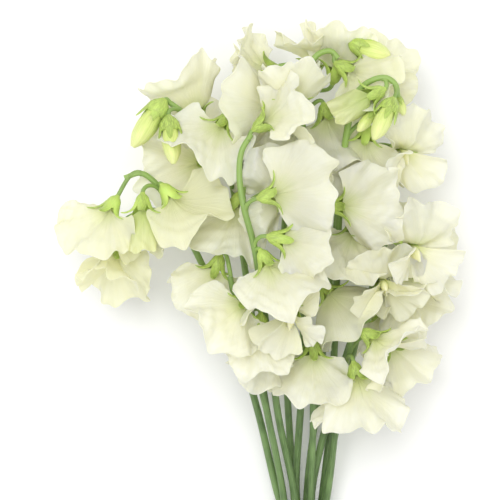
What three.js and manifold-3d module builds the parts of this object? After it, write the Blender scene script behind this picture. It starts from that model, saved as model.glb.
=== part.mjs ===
// A bunch of cut sweet peas lying on its side: twelve flower stems held by one rubber band.
// Millimetres. X runs across the bunch, Y from the cut ends to the flowers, and Z up from the surface
// it lies on. The layout below is measured from the middle of the band; the finished group is moved so
// that its origin is the middle of its own footprint, on the surface.
import * as THREE from "three";
import { mergeVertices } from "three/addons/utils/BufferGeometryUtils.js";
import Module from "manifold-3d";

const wasm = await Module();
wasm.setup();
const { Manifold } = wasm;

// ---- Driving dimensions -------------------------------------------------------------------
const STEM_RADIUS = 1.8; // at the cut end
const TIP_RADIUS = 1.1; // at the end of the flower spike
const STEM_SIDES = 5;
const STEM_PITCH = 4.3; // between neighbouring stems in the band
const ROW_PITCH = 3.9; // between layers of stems in the band
const BAND_X = 3; // middle of the band
const BAND_Z = 3.4; // height of the lowest layer of stems in the band
const BAND_WIDTH = 6;
const BAND_THICKNESS = 1.2;
const BAND_CORNER = 2.4; // inner radius of the band's corners
const CUT_END_Y = -92;
const CUT_END_Z = 2.1; // height of the lowest layer at the cut ends
const CUT_ROW_PITCH = 4.4; // between layers of stems at the cut ends
const CUT_STAGGER = 4; // steps in length between neighbouring cut ends
const LOOSE_Y = -40; // where the stems start to close up towards the band
const LOOSE_SPLAY = 1.1;
const LOOSE_Z = 2.8;
const LOOSE_ROW_PITCH = 4.2;
const SIDE_STEP = 1; // sideways shift of each layer against the next, so that the stems nest
const STEM_SPLAY = 1.35; // how much wider the cut ends are spread than the stems in the band
const PEDICEL_RADIUS = 0.9;
const STEM_SAMPLES = 400; // places on a stem that are tried for the foot of a flower's stalk
const PEDICEL_RUN = 10; // longest way a flower's stalk runs beside its stem
const CALYX_SIDES = 5; // one side for each pointed lobe
const CALYX_DEPTH = 5;
const CALYX_RADIUS = 3.4;
const CALYX_WALL = 0.75;
const CALYX_FLOOR = 2; // height of the cup's floor above its foot
const LOBE_LENGTH = 6;
const LOBE_FLARE = THREE.MathUtils.degToRad(62); // how far the calyx's lobes lean out from the flower's axis
const BUD_FULLNESS = 0.23; // half the width of a bud as a share of its length
const BANNER_REACH = 29; // claw to top edge of the big back petal
const WING_REACH = 23;
const YOUNG_REACH = 22; // of the folded petal of a half-open flower
const PETAL_THICKNESS = 0.7;
const PETAL_ROOT = 4.2; // height of the claws' roots above the foot of the calyx
const CLAW_SHARE = 0.12; // length of the narrow claw as a share of the petal
const NOTCH_WIDTH = 0.16; // radians from the middle of the banner's notch to its side
const RIB_STEPS = 16; // short steps that a petal's ribs are followed in
const RIM_CLEARANCE = 1.4; // clearance beyond a petal's edge, as a share of the clearance of its faces
const GAP = 0.35; // left between touching pieces

const COLOURS = { petal: 0xf3f1d9, green: 0x6f9a55, band: 0xc9a77a };

// ---- Small vector helpers -----------------------------------------------------------------
const vec = (p) => new THREE.Vector3(...p);
const degrees = (angle) => THREE.MathUtils.degToRad(angle);
const smooth = (t) => THREE.MathUtils.smoothstep(t, 0, 1);

// Repeatable numbers from 0 to 1 for one flower.
function drawsFor(seed) {
  let state = (seed * 9301 + 49297) % 233280;
  return () => {
    state = (state * 9301 + 49297) % 233280;
    return state / 233280;
  };
}

// Matrix whose Z looks along face and whose Y is as near to up as it can be.
function poseMatrix(base, face, up) {
  const z = vec(face).normalize();
  const y = vec(up);
  y.addScaledVector(z, -y.dot(z)).normalize();
  const x = new THREE.Vector3().crossVectors(y, z);
  return new THREE.Matrix4().makeBasis(x, y, z).setPosition(vec(base));
}

// ---- Closed meshes and solids -------------------------------------------------------------
// A list of points and triangles as a solid.
function solidFrom(points, triangles) {
  const geometry = new THREE.BufferGeometry();
  const numbers = points.flatMap((p) => [p.x, p.y, p.z]);
  geometry.setAttribute("position", new THREE.Float32BufferAttribute(numbers, 3));
  geometry.setIndex(triangles.flat());
  const merged = mergeVertices(geometry, 1e-4);
  const solid = new Manifold(
    new wasm.Mesh({
      numProp: 3,
      vertProperties: merged.getAttribute("position").array,
      triVerts: new Uint32Array(merged.index.array),
    }),
  );
  return solid.volume() < 0 ? solidFrom(points, triangles.map(([a, b, c]) => [a, c, b])) : solid;
}

// Rings of equal length joined end to end and closed at both ends by a middle point.
function loft(rings) {
  const sides = rings[0].length;
  const middle = (ring) => ring.reduce((sum, p) => sum.add(p), new THREE.Vector3()).divideScalar(sides);
  const points = [...rings.flat(), middle(rings[0]), middle(rings.at(-1))];
  const first = points.length - 2;
  const last = points.length - 1;
  const triangles = [];
  for (let k = 0; k < sides; k++) {
    const next = (k + 1) % sides;
    for (let i = 0; i + 1 < rings.length; i++) {
      const a = i * sides;
      const b = a + sides;
      triangles.push([a + k, a + next, b + next], [a + k, b + next, b + k]);
    }
    const top = (rings.length - 1) * sides;
    triangles.push([first, next, k], [last, top + k, top + next]);
  }
  return solidFrom(points, triangles);
}

// The places on a curve at its own control points.
function placesAlong(curve) {
  const steps = curve.points.length - 1;
  return curve.points.map((point, i) => ({
    t: i / steps,
    centre: point.clone(),
    along: curve.getTangent(i / steps),
  }));
}

// A tube of changing radius through those places. extra makes it thicker and longer.
function tube(places, sides, radiusAt, extra) {
  const across = new THREE.Vector3(0, 0, 1);
  const rings = places.map(({ t, centre, along }, i) => {
    across.addScaledVector(along, -across.dot(along)).normalize();
    const third = new THREE.Vector3().crossVectors(along, across);
    const end = i === 0 ? -extra : i === places.length - 1 ? extra : 0;
    return Array.from({ length: sides }, (_, k) => {
      const angle = (2 * Math.PI * k) / sides;
      return centre
        .clone()
        .addScaledVector(along, end)
        .addScaledVector(across, (radiusAt(t) + extra) * Math.cos(angle))
        .addScaledVector(third, (radiusAt(t) + extra) * Math.sin(angle));
    });
  });
  return loft(rings);
}

// ---- Petals -------------------------------------------------------------------------------
// Places on a petal's middle surface. The midrib starts along axis and turns by bend towards lift, the
// sides wrap away from lift by fold (1/mm), and the edge waves. angle is the direction of the place
// seen from the claw, and share how far out it is, from 0 at the root to 1 on the edge.
function petalPoint(spec, angle, share) {
  const { root, axis, side, lift, reach, claw, bend, bendOver, fold } = spec;
  const { wave, waves, phase, roundness, notch } = spec;
  const notched = 1 - notch * Math.exp(-((angle / NOTCH_WIDTH) ** 2));
  const outline = reach * Math.cos(0.9 * angle) ** roundness * notched;
  const step = (outline * share) / RIB_STEPS;
  const along = root.clone();
  let across = 0;
  let heading = 0;
  for (let s = 0; s < RIB_STEPS; s++) {
    const distance = (s + 0.5) * step;
    const opening = angle * (0.1 + 0.9 * smooth(distance / claw));
    heading = bend * smooth(distance / bendOver);
    along.addScaledVector(axis, Math.cos(opening) * Math.cos(heading) * step);
    along.addScaledVector(lift, Math.cos(opening) * Math.sin(heading) * step);
    across += Math.sin(opening) * step;
  }
  const normal = axis.clone().multiplyScalar(-Math.sin(heading)).addScaledVector(lift, Math.cos(heading));
  const wrap = (1 - Math.cos(fold * across)) / fold;
  const ripple = wave * reach * share ** 2 * Math.sin(waves * angle + phase);
  return along.addScaledVector(side, Math.sin(fold * across) / fold).addScaledVector(normal, ripple - wrap);
}

// A petal of even thickness: a narrow claw, then rows that open like a fan. Both faces are split alike.
// extra is the clearance kept round it, beyond its faces and its edge.
function petal(spec, extra) {
  const { span, columns, shares } = spec;
  const angles = Array.from({ length: columns + 1 }, (_, j) =>
    THREE.MathUtils.lerp(span[0], span[1], j / columns),
  );
  const claw = [petalPoint(spec, 0, 0)];
  const throat = [angles[0], angles[columns]].map((angle) => petalPoint(spec, angle, CLAW_SHARE));
  const rows = shares.map((share) => angles.map((angle) => petalPoint(spec, angle, share)));
  const all = [claw, throat, ...rows];
  const middle = Math.floor(columns / 2);
  const normals = all.map((row, i) => {
    const inner = all[Math.max(i - 1, 0)];
    const outer = all[Math.min(i + 1, all.length - 1)];
    return row.map((_, j) => {
      const across = j / Math.max(row.length - 1, 1);
      const near = (line) => line[Math.round(across * (line.length - 1))];
      const low = row.length > 1 ? row[Math.max(j - 1, 0)] : throat[0];
      const high = row.length > 1 ? row[Math.min(j + 1, row.length - 1)] : throat[1];
      const outwards = new THREE.Vector3().subVectors(row.length > 1 ? near(outer) : throat[0], near(inner));
      return new THREE.Vector3().subVectors(high, low).cross(outwards).normalize();
    });
  });
  // The rim in order: up one side, along the edge and back down the other side, then the claw's own point.
  const starts = all.map((_, i) => all.slice(0, i).reduce((count, row) => count + row.length, 0));
  const last = all.length - 1;
  const rim = [
    ...all.map((_, i) => starts[i]),
    ...Array.from({ length: columns - 1 }, (_, j) => starts[last] + j + 1),
    ...all.slice(1).map((row, i) => starts[i + 1] + row.length - 1).reverse(),
  ];
  const flat = all.flat();
  const flatNormals = normals.flat();
  const grown = flat.map((p) => p.clone());
  rim.forEach((index, k) => {
    const before = flat[rim.at(k - 1)];
    const after = flat[rim[(k + 1) % rim.length]];
    const outwards = new THREE.Vector3().subVectors(after, before).cross(flatNormals[index]).normalize();
    grown[index].addScaledVector(outwards, -RIM_CLEARANCE * extra);
  });
  const half = PETAL_THICKNESS / 2 + extra;
  const face = (sign) => grown.map((p, i) => p.clone().addScaledVector(flatNormals[i], sign * half));
  const points = [...face(1), ...face(-1)];
  const behind = grown.length;
  const faces = [[0, 1, 2]];
  for (let j = 0; j < columns; j++) faces.push([j < middle ? 1 : 2, starts[2] + j, starts[2] + j + 1]);
  faces.push([1, starts[2] + middle, 2]);
  for (let i = 2; i < last; i++) {
    for (let j = 0; j < columns; j++) {
      const [here, out] = [starts[i] + j, starts[i + 1] + j];
      faces.push([here, out, out + 1], [here, out + 1, here + 1]);
    }
  }
  const edges = rim.flatMap((here, k) => {
    const next = rim[(k + 1) % rim.length];
    return [[next, here, here + behind], [next, here + behind, next + behind]];
  });
  const back = faces.map(([i, j, k]) => [i + behind, k + behind, j + behind]);
  return solidFrom(points, [...faces, ...back, ...edges]);
}

// How far each form of flower has opened.
const FORMS = {
  open: { bend: 92, bendOver: 15, fold: 0.012, wave: 0.1, wings: true },
  spread: { bend: 62, bendOver: 16, fold: 0.02, wave: 0.09, wings: true },
  hooded: { bend: 36, bendOver: 18, fold: 0.03, wave: 0.09, wings: true },
  half: { bend: 12, bendOver: 20, fold: 0.17, wave: 0.03, wings: false },
};

// The petals' shapes for one flower, in its own frame: Z is the way it faces and Y the side the banner
// stands on.
function petalSpecs({ form, size, seed }) {
  const draw = drawsFor(seed);
  const opening = FORMS[form];
  const x = vec([1, 0, 0]);
  const y = vec([0, 1, 0]);
  const z = vec([0, 0, 1]);
  const bend = opening.bend + 20 * (draw() - 0.5);
  const banner = {
    root: vec([0, 0.8, PETAL_ROOT]),
    axis: z,
    side: x,
    lift: y,
    reach: BANNER_REACH * size,
    span: [degrees(-90), degrees(90)],
    claw: 5,
    bend: degrees(bend),
    bendOver: opening.bendOver,
    fold: opening.fold,
    wave: opening.wave,
    waves: 4.2 + draw(),
    phase: 2 * Math.PI * draw(),
    roundness: 0.35,
    notch: 0.1,
    columns: 6,
    shares: [0.58, 1],
  };
  if (!opening.wings) return [{ ...banner, span: [degrees(-62), degrees(62)], reach: YOUNG_REACH * size }];
  const wings = [-1, 1].map((hand) => ({
    root: vec([hand * 0.5, 0.8, PETAL_ROOT + 1.7]),
    axis: vec([hand * 0.25, -0.35, 1]).normalize(),
    side: vec([0, 1, 0.35]).normalize(),
    lift: x.clone().multiplyScalar(hand),
    reach: WING_REACH * size,
    span: [degrees(-55), degrees(10)],
    claw: 4,
    bend: degrees(40 + 20 * draw()),
    bendOver: 16,
    fold: 0.045,
    wave: 0.06,
    waves: 4 + draw(),
    phase: 2 * Math.PI * draw(),
    roundness: 0.45,
    notch: 0,
    columns: 3,
    shares: [1],
  }));
  return [banner, ...wings];
}

// One flower's petals as one solid in the layout frame. extra is the clearance kept by its neighbours.
function bloomSolid(flower, extra) {
  const matrix = poseMatrix(flower.base, flower.face, flower.up);
  const petals = petalSpecs(flower).map((spec) => petal(spec, extra));
  return Manifold.union(petals).transform(matrix.elements);
}

// ---- Green parts --------------------------------------------------------------------------
// Rings at the foot and the middle of a flower's stalk, which keep the directions of the cup at its end,
// then rings along the flower's axis.
function stalkRings(curve, flower, extra, profile) {
  const matrix = poseMatrix(flower.base, flower.face, flower.up);
  const face = vec(flower.face).normalize();
  const around = Array.from({ length: CALYX_SIDES }, (_, k) => {
    const angle = (2 * Math.PI * (k + 0.5)) / CALYX_SIDES + Math.PI / 2;
    return vec([Math.cos(angle), Math.sin(angle), 0]);
  });
  const stalk = [0, 0.5].map((t) => {
    const centre = curve.getPoint(t);
    const turn = new THREE.Quaternion().setFromUnitVectors(face, curve.getTangent(t));
    return around.map((d) => {
      const outwards = d.clone().transformDirection(matrix).applyQuaternion(turn);
      return centre.clone().addScaledVector(outwards, PEDICEL_RADIUS + extra);
    });
  });
  const head = profile.map(([z, radius, bow = 0]) =>
    around.map((d) => d.clone().multiplyScalar(radius).add(vec([0, bow, z])).applyMatrix4(matrix)),
  );
  return [...stalk, ...head];
}

// A flower's stalk, opening into the cup with five spread lobes that holds its claws.
function stalkAndCalyx(curve, flower, extra) {
  const n = CALYX_SIDES;
  const reach = LOBE_LENGTH + 3 * extra;
  const rings = stalkRings(curve, flower, extra, [
    [0, PEDICEL_RADIUS + extra],
    [CALYX_DEPTH, CALYX_RADIUS + extra],
    [CALYX_DEPTH + extra, CALYX_RADIUS - CALYX_WALL - extra],
  ]);
  const matrix = poseMatrix(flower.base, flower.face, flower.up);
  const tips = rings.at(-1).map((_, k) => {
    const angle = (2 * Math.PI * (k + 1)) / n + Math.PI / 2;
    const radius = 0.8 * CALYX_RADIUS + reach * Math.sin(LOBE_FLARE);
    const height = CALYX_DEPTH + reach * Math.cos(LOBE_FLARE);
    return vec([radius * Math.cos(angle), radius * Math.sin(angle), height]).applyMatrix4(matrix);
  });
  const cupFloor = vec([0, 0, CALYX_FLOOR + extra]).applyMatrix4(matrix);
  const points = [...rings.flat(), ...tips, cupFloor, curve.getPoint(0)];
  const outer = (rings.length - 2) * n;
  const [inner, tip, floor, foot] = [outer + n, outer + 2 * n, outer + 3 * n, outer + 3 * n + 1];
  const triangles = [];
  for (let k = 0; k < n; k++) {
    const next = (k + 1) % n;
    for (let low = 0; low < outer; low += n) {
      triangles.push([low + k, low + next, low + n + next], [low + k, low + n + next, low + n + k]);
    }
    triangles.push([foot, next, k], [floor, inner + k, inner + next]);
    triangles.push([outer + k, outer + next, tip + k], [inner + next, inner + k, tip + k]);
    triangles.push([outer + next, inner + next, tip + k], [inner + k, outer + k, tip + k]);
  }
  return solidFrom(points, triangles);
}

// A stalk that ends in an unopened flower: the cup, then a plump pod that bows towards its back.
function stalkAndBud(curve, flower, extra) {
  const length = flower.size;
  const half = BUD_FULLNESS * length;
  return loft(
    stalkRings(curve, flower, extra, [
      [-extra, PEDICEL_RADIUS + extra],
      [0.22 * length, 0.95 * half + extra],
      [0.3 * length, 0.8 * half + extra],
      [0.55 * length, half + extra, 0.05 * length],
      [0.85 * length, 0.7 * half + extra, 0.1 * length],
      [length + extra, 0.2 * half + extra, 0.14 * length],
    ]),
  );
}

function stemCurve({ slot, route }) {
  const [column, row] = slot;
  const offset = (column - 1.5) * STEM_PITCH + (row === 1 ? SIDE_STEP : -SIDE_STEP);
  const height = BAND_Z + row * ROW_PITCH;
  const cutEnd = CUT_END_Y + CUT_STAGGER * ((column + 2 * row) % 3);
  const start = [
    [BAND_X + offset * STEM_SPLAY, cutEnd, CUT_END_Z + row * CUT_ROW_PITCH],
    [BAND_X + offset * LOOSE_SPLAY, LOOSE_Y, LOOSE_Z + row * LOOSE_ROW_PITCH],
    [BAND_X + offset, -BAND_WIDTH / 2, height],
    [BAND_X + offset, BAND_WIDTH / 2, height],
  ];
  return new THREE.CatmullRomCurve3([...start, ...route].map(vec), false, "centripetal");
}

// The flower's stalk leaves the stem a little below the place nearest to the flower.
function pedicelCurve(places, flower) {
  const base = vec(flower.base);
  const length = places.reduce((sum, p, i) => sum + (i ? p.centre.distanceTo(places[i - 1].centre) : 0), 0);
  const onStem = (s) => {
    let left = Math.max(0, Math.min(s, length));
    for (let i = 1; i < places.length; i++) {
      const [from, to] = [places[i - 1].centre, places[i].centre];
      const span = from.distanceTo(to);
      if (left <= span) {
        return { point: from.clone().lerp(to, left / span), away: to.clone().sub(from).normalize() };
      }
      left -= span;
    }
    return { point: places.at(-1).centre.clone(), away: places.at(-1).along.clone() };
  };
  const distance = (s) => onStem(s).point.distanceTo(base);
  const samples = Array.from({ length: STEM_SAMPLES }, (_, i) => (length * i) / STEM_SAMPLES);
  const nearest = samples.reduce((best, s) => (distance(s) < distance(best) ? s : best), 0);
  const { point, away } = onStem(nearest - 0.8 * Math.min(distance(nearest), PEDICEL_RUN));
  const slack = 0.4 * point.distanceTo(base);
  return new THREE.CubicBezierCurve3(
    point,
    point.clone().addScaledVector(away, slack),
    base.clone().addScaledVector(vec(flower.face).normalize(), -slack),
    base,
  );
}

// Stem, stalks, calyces and unopened buds of one flower spike as one solid.
function stemSolid(stem, extra) {
  const places = placesAlong(stemCurve(stem));
  const radiusAt = (t) => THREE.MathUtils.lerp(STEM_RADIUS, TIP_RADIUS, t);
  const stalks = stem.flowers.map((flower) => {
    const build = flower.form === "bud" ? stalkAndBud : stalkAndCalyx;
    return build(pedicelCurve(places, flower), flower, extra);
  });
  return Manifold.union([tube(places, STEM_SIDES, radiusAt, extra), ...stalks]);
}

// ---- Layout -------------------------------------------------------------------------------
// slot is the stem's column and layer in the band; route its way to the flowers. Each flower has the
// place of its calyx, the way it faces, the side its banner stands on, its form, and its size
// (a share of full size, or a bud's length).
const flower = (base, face, up, form, size) => ({ base, face, up, form, size });

const STEMS = [
  {
    name: "left_nodding",
    slot: [0, 1],
    route: [
      [-9.5, 26, 12], [-18, 62, 22], [-27, 92, 34], [-38, 118, 44], [-46, 135, 50], [-54, 150, 54],
      [-61, 161, 58], [-68, 166, 60], [-75, 164, 60],
    ],
    flowers: [
      flower([-78, 156, 60], [-4, -7, 0], [-2, 0, 4], "hooded", 0.95),
      flower([-67, 157, 66], [0, -8, 1], [0, 0, 1], "half", 1),
      flower([-59, 161, 62], [5, -7, -1], [2, 1, 4], "spread", 1),
      flower([-79, 139, 48], [0, -6, 0], [2, 0, -3], "hooded", 0.9),
    ],
  },
  {
    name: "left_top",
    slot: [0, 0],
    route: [
      [-7, 26, 7], [-14, 62, 14], [-20, 100, 22], [-26, 140, 34], [-31, 168, 44], [-40, 183, 52],
      [-50, 192, 58], [-57, 197, 60],
    ],
    flowers: [
      flower([-42, 187, 45], [-2, 4, 1], [0, -1, 4], "hooded", 0.95),
      flower([-30, 191, 62], [-3, -4, 1], [0, 1, 5], "hooded", 1),
      flower([-36, 172, 45], [-5, -1, 0], [0, 0, 1], "hooded", 1.1),
      flower([-40, 178, 24], [-4, 2, -4], [0, 3, -1], "open", 0.9),
      flower([-58, 197, 62], [-6, -9, 0], [0, 0, 1], "bud", 24),
      flower([-56, 190, 66], [1, -9, 1], [0, 0, 1], "bud", 21),
    ],
  },
  {
    name: "centre_left",
    slot: [1, 2],
    route: [
      [-2, 26, 17], [-9, 60, 28], [-13, 90, 42], [-16.5, 115, 56], [-20, 136, 68], [-24, 151, 72],
      [-26, 165, 72], [-25, 175, 72], [-21, 182, 72],
    ],
    flowers: [
      flower([-20, 184, 72], [5, 3, 1], [-1, 3, 4], "hooded", 0.85),
      flower([-18, 155, 76], [5, 1, 0], [0, 1, 4], "hooded", 1.05),
      flower([-14, 139, 74], [5, -1, -1], [0, 0, 1], "hooded", 0.85),
      flower([-17, 133, 70], [3, -6, 1], [1, 1, 5], "hooded", 1.05),
      flower([-25, 158, 54], [-2, -5, 0], [-1, 0, 4], "hooded", 1),
      flower([-7, 158, 55], [0, -1, 4], [0, 4, 1], "open", 1),
    ],
  },
  {
    name: "top_left",
    slot: [1, 0],
    route: [
      [-2, 26, 7], [-5, 70, 14], [-7, 110, 22], [-6, 150, 32], [-2, 190, 40], [-1, 206, 42], [-4, 213, 42],
      [-9, 213, 41],
    ],
    flowers: [
      flower([-8, 211, 38], [-5, 1, 0], [0, 2, 2], "spread", 0.8),
      flower([-3.5, 193, 56], [-5, 1, 1], [1, 1, 5], "hooded", 1.05),
      flower([-3, 189, 64], [0, 5, 1], [0, -1, 4], "hooded", 0.8),
      flower([-10, 177, 38], [-2, -2, 4], [0, 4, 1], "open", 0.9),
    ],
  },
  {
    name: "top",
    slot: [1, 1],
    route: [
      [-1, 26, 12], [1, 67, 22], [2, 110, 34], [2, 150, 46], [1, 185, 54], [1.5, 203, 58], [4, 212, 60],
      [8, 217, 60], [13, 218, 60], [16, 215, 60],
    ],
    flowers: [
      flower([6, 207, 40], [0, 5, 1], [-3, 0, 2], "spread", 0.8),
      flower([15, 213, 60], [5, -3, 0], [0, 1, 4], "hooded", 0.9),
      flower([14, 205, 49], [1, 5, 1], [0, -1, 4], "hooded", 0.85),
      flower([10, 196, 52], [1, -5, 0], [1, 0, 3], "hooded", 1),
    ],
  },
  {
    name: "top_right",
    slot: [2, 0],
    route: [
      [4, 26, 7], [9, 70, 12], [13, 110, 18], [17, 150, 26], [20, 190, 36], [22, 212, 44], [24, 220, 48],
    ],
    flowers: [
      flower([21, 223, 56], [5, -3, 0], [1, 2, 0], "bud", 19),
      flower([31, 205, 34], [1, 1, 4], [1, 4, 0], "open", 0.85),
      flower([11, 181, 38], [0, -5, 1], [0, 1, 5], "hooded", 0.9),
    ],
  },
  {
    name: "right_nodding",
    slot: [2, 1],
    route: [
      [6, 26, 12], [14, 67, 20], [16, 110, 34], [17, 150, 48], [20, 185, 60], [24, 200, 66], [30, 205, 69],
      [36, 206, 70], [40, 203, 70], [41, 198, 69],
    ],
    flowers: [
      flower([35, 201, 72], [-8, -4, 1], [0, 0, 1], "half", 0.95),
      flower([39, 197, 74], [-4, -8, 1], [0, 0, 1], "bud", 20),
      flower([32, 193, 68], [-5, -6, 1], [0, 0, 1], "bud", 13),
      flower([41, 199, 66], [1, -6, 0], [1, 0, 0], "bud", 9),
      flower([29, 187, 56], [-1, -5, 0], [0, 1, 4], "hooded", 1),
      flower([40, 178, 44], [2, -1, 3], [1, 4, 0], "open", 0.85),
    ],
  },
  {
    name: "right",
    slot: [3, 1],
    route: [[12, 26, 12], [20, 70, 19], [28, 105, 32], [34, 125, 42], [38, 140, 46], [42, 148, 48]],
    flowers: [
      flower([11, 152, 64], [5, 0, 0], [0, 0, 4], "hooded", 1),
      flower([44, 137, 50], [2, -1, 3], [1, 4, 1], "open", 0.9),
      flower([45, 130, 36], [1, -4, 1], [2, 1, 3], "spread", 0.95),
      flower([24, 147, 47], [-1, -5, 1], [0, 0, 4], "hooded", 1),
      flower([34, 124, 44], [1, -2, 4], [0, 4, 2], "open", 0.85),
    ],
  },
  {
    name: "right_low",
    slot: [3, 0],
    route: [[11, 26, 7], [17, 70, 9], [26, 100, 14], [36, 117, 22], [42, 126, 26]],
    flowers: [
      flower([38, 118, 30], [4, -4, 0], [0, 0, 3], "hooded", 0.9),
      flower([36, 112, 18], [1, -5, -1], [1, 0, 3], "hooded", 0.85),
      flower([44, 130, 22], [4, 3, -4], [0, 1, 0], "open", 0.9),
    ],
  },
  {
    name: "low_right",
    slot: [3, 2],
    route: [[13, 26, 17], [17.5, 67, 28], [21, 88, 44], [24, 100, 52], [30, 104, 54]],
    flowers: [
      flower([26, 99, 62], [4, -3, 1], [0, 2, 4], "spread", 0.9),
      flower([23, 85, 52], [1, -5, 0], [2, 0, 3], "hooded", 1.05),
      flower([35, 96, 40], [4, -4, -1], [1, 1, 3], "hooded", 0.85),
    ],
  },
  {
    name: "low_middle",
    slot: [2, 2],
    route: [[5.5, 26, 17], [6, 67, 32], [4, 90, 48], [3, 104, 58], [2, 112, 62]],
    flowers: [
      flower([-3, 110, 62], [-1, -2, 4], [-1, 4, 1], "open", 0.85),
      flower([5.5, 95, 52], [0, -5, 0], [0, 0, 1], "hooded", 0.95),
      flower([8, 119, 46], [4, -4, 1], [0, 1, 3], "hooded", 1),
      flower([-1, 91, 52], [-4, -1, 2], [0, 1, 1], "bud", 10),
    ],
  },
  {
    name: "low_left",
    slot: [0, 2],
    route: [[-7, 26, 17], [-14, 62, 32], [-22, 92, 48], [-28, 112, 58], [-30, 122, 60]],
    flowers: [
      flower([-20, 115, 64], [-4, -4, 1], [0, 0, 1], "hooded", 0.95),
      flower([-34, 131, 56], [-2, -5, -1], [0, 0, 3], "hooded", 0.85),
      flower([-17, 106, 63], [0, -5, 0], [0, 0, 1], "hooded", 0.8),
      flower([-15.5, 99, 52], [1, -5, -1], [0, 0, 3], "hooded", 0.8),
    ],
  },
];
STEMS.forEach((stem, s) => stem.flowers.forEach((f, k) => Object.assign(f, { seed: 10 * s + k + 1 })));

// ---- The rubber band ----------------------------------------------------------------------
function bandSolid() {
  const halfWidth = 1.5 * STEM_PITCH + SIDE_STEP + STEM_RADIUS + GAP;
  const halfHeight = ROW_PITCH + STEM_RADIUS + GAP;
  const outline = (grow, Path) => {
    const [w, h, r] = [halfWidth + grow, halfHeight + grow, BAND_CORNER + grow];
    const path = new Path();
    path.absarc(w - r, h - r, r, 0, Math.PI / 2);
    path.absarc(r - w, h - r, r, Math.PI / 2, Math.PI);
    path.absarc(r - w, r - h, r, Math.PI, 1.5 * Math.PI);
    path.absarc(w - r, r - h, r, 1.5 * Math.PI, 2 * Math.PI);
    return path;
  };
  const shape = outline(BAND_THICKNESS, THREE.Shape);
  shape.holes.push(outline(0, THREE.Path));
  const options = { depth: BAND_WIDTH, bevelEnabled: false, curveSegments: 2 };
  const geometry = new THREE.ExtrudeGeometry(shape, options);
  geometry.rotateX(Math.PI / 2).translate(BAND_X, BAND_WIDTH / 2, BAND_Z + ROW_PITCH);
  const points = [];
  const position = geometry.getAttribute("position");
  for (let i = 0; i < position.count; i++) points.push(new THREE.Vector3().fromBufferAttribute(position, i));
  const triangles = points.flatMap((_, i) => (i % 3 ? [] : [[i, i + 1, i + 2]]));
  return solidFrom(points, triangles);
}

// ---- Assembly -----------------------------------------------------------------------------
const bunch = new THREE.Group();
bunch.name = "sweet_pea_bunch";

function addMesh(parent, name, solid, colour, place) {
  const mesh = solid.getMesh();
  const geometry = new THREE.BufferGeometry();
  geometry.setAttribute("position", new THREE.BufferAttribute(mesh.vertProperties, 3));
  geometry.setIndex(new THREE.BufferAttribute(mesh.triVerts, 1));
  geometry.translate(...place.map((v) => -v));
  const material = new THREE.MeshStandardMaterial({ color: colour, roughness: 0.6, metalness: 0 });
  const made = new THREE.Mesh(geometry, material);
  made.name = name;
  made.position.set(...place);
  parent.add(made);
}

const overTable = (solid) => solid.trimByPlane([0, 0, 1], 0);
const largest = (solid) => solid.decompose().sort((a, b) => b.volume() - a.volume())[0];
const meets = (a, b) => {
  const [boxA, boxB] = [a.boundingBox(), b.boundingBox()];
  return [0, 1, 2].every((k) => boxA.min[k] < boxB.max[k] && boxB.min[k] < boxA.max[k]);
};
const cutBy = (solid, tool) => (meets(solid, tool) ? solid.subtract(tool).asOriginal() : solid);

const keptClear = STEMS.map((stem) => stemSolid(stem, GAP).add(stemSolid(stem, 0)).asOriginal());
for (const stem of STEMS) {
  const spike = new THREE.Group();
  bunch.add(spike);
  addMesh(spike, "stem_" + stem.name, largest(overTable(stemSolid(stem, 0))), COLOURS.green, [0, 0, 0]);
  let count = 0;
  for (const f of stem.flowers) {
    if (f.form === "bud") continue;
    const solid = keptClear.reduce(cutBy, bloomSolid(f, 0));
    count += 1;
    addMesh(spike, "bloom_" + stem.name + "_" + count, largest(overTable(solid)), COLOURS.petal, f.base);
    keptClear.push(bloomSolid(f, GAP).add(solid).asOriginal());
  }
}
addMesh(bunch, "rubber_band", bandSolid(), COLOURS.band, [0, 0, 0]);

const footprint = new THREE.Box3().setFromObject(bunch);
bunch.position.set(
  -(footprint.min.x + footprint.max.x) / 2,
  -(footprint.min.y + footprint.max.y) / 2,
  -footprint.min.z,
);

export default bunch;
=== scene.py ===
import functools
import math

import bpy
import numpy as np
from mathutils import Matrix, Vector


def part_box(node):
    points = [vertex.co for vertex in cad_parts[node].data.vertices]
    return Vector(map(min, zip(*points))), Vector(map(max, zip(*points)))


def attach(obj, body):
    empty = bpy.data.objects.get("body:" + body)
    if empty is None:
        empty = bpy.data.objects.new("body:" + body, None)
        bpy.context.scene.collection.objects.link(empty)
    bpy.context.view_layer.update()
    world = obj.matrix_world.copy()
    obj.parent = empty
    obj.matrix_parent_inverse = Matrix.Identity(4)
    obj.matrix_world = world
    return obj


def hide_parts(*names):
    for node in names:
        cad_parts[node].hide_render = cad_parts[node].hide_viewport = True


bl_info = {
    "name": "Sweet Pea Bunch",
    "version": (1, 0, 0),
    "blender": (4, 5, 0),
    "location": "3D View > Sidebar > Sweet Peas",
    "description": "Builds a lying bunch of cream sweet peas",
    "category": "Add Mesh",
}

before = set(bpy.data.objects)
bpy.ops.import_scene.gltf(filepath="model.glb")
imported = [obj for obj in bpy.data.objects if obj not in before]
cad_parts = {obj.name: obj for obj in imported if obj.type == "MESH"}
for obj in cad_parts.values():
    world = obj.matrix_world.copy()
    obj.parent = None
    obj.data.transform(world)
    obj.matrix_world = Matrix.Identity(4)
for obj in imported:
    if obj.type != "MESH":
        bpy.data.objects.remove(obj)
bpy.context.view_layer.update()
BODY = "root"
MM = 0.001

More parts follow.
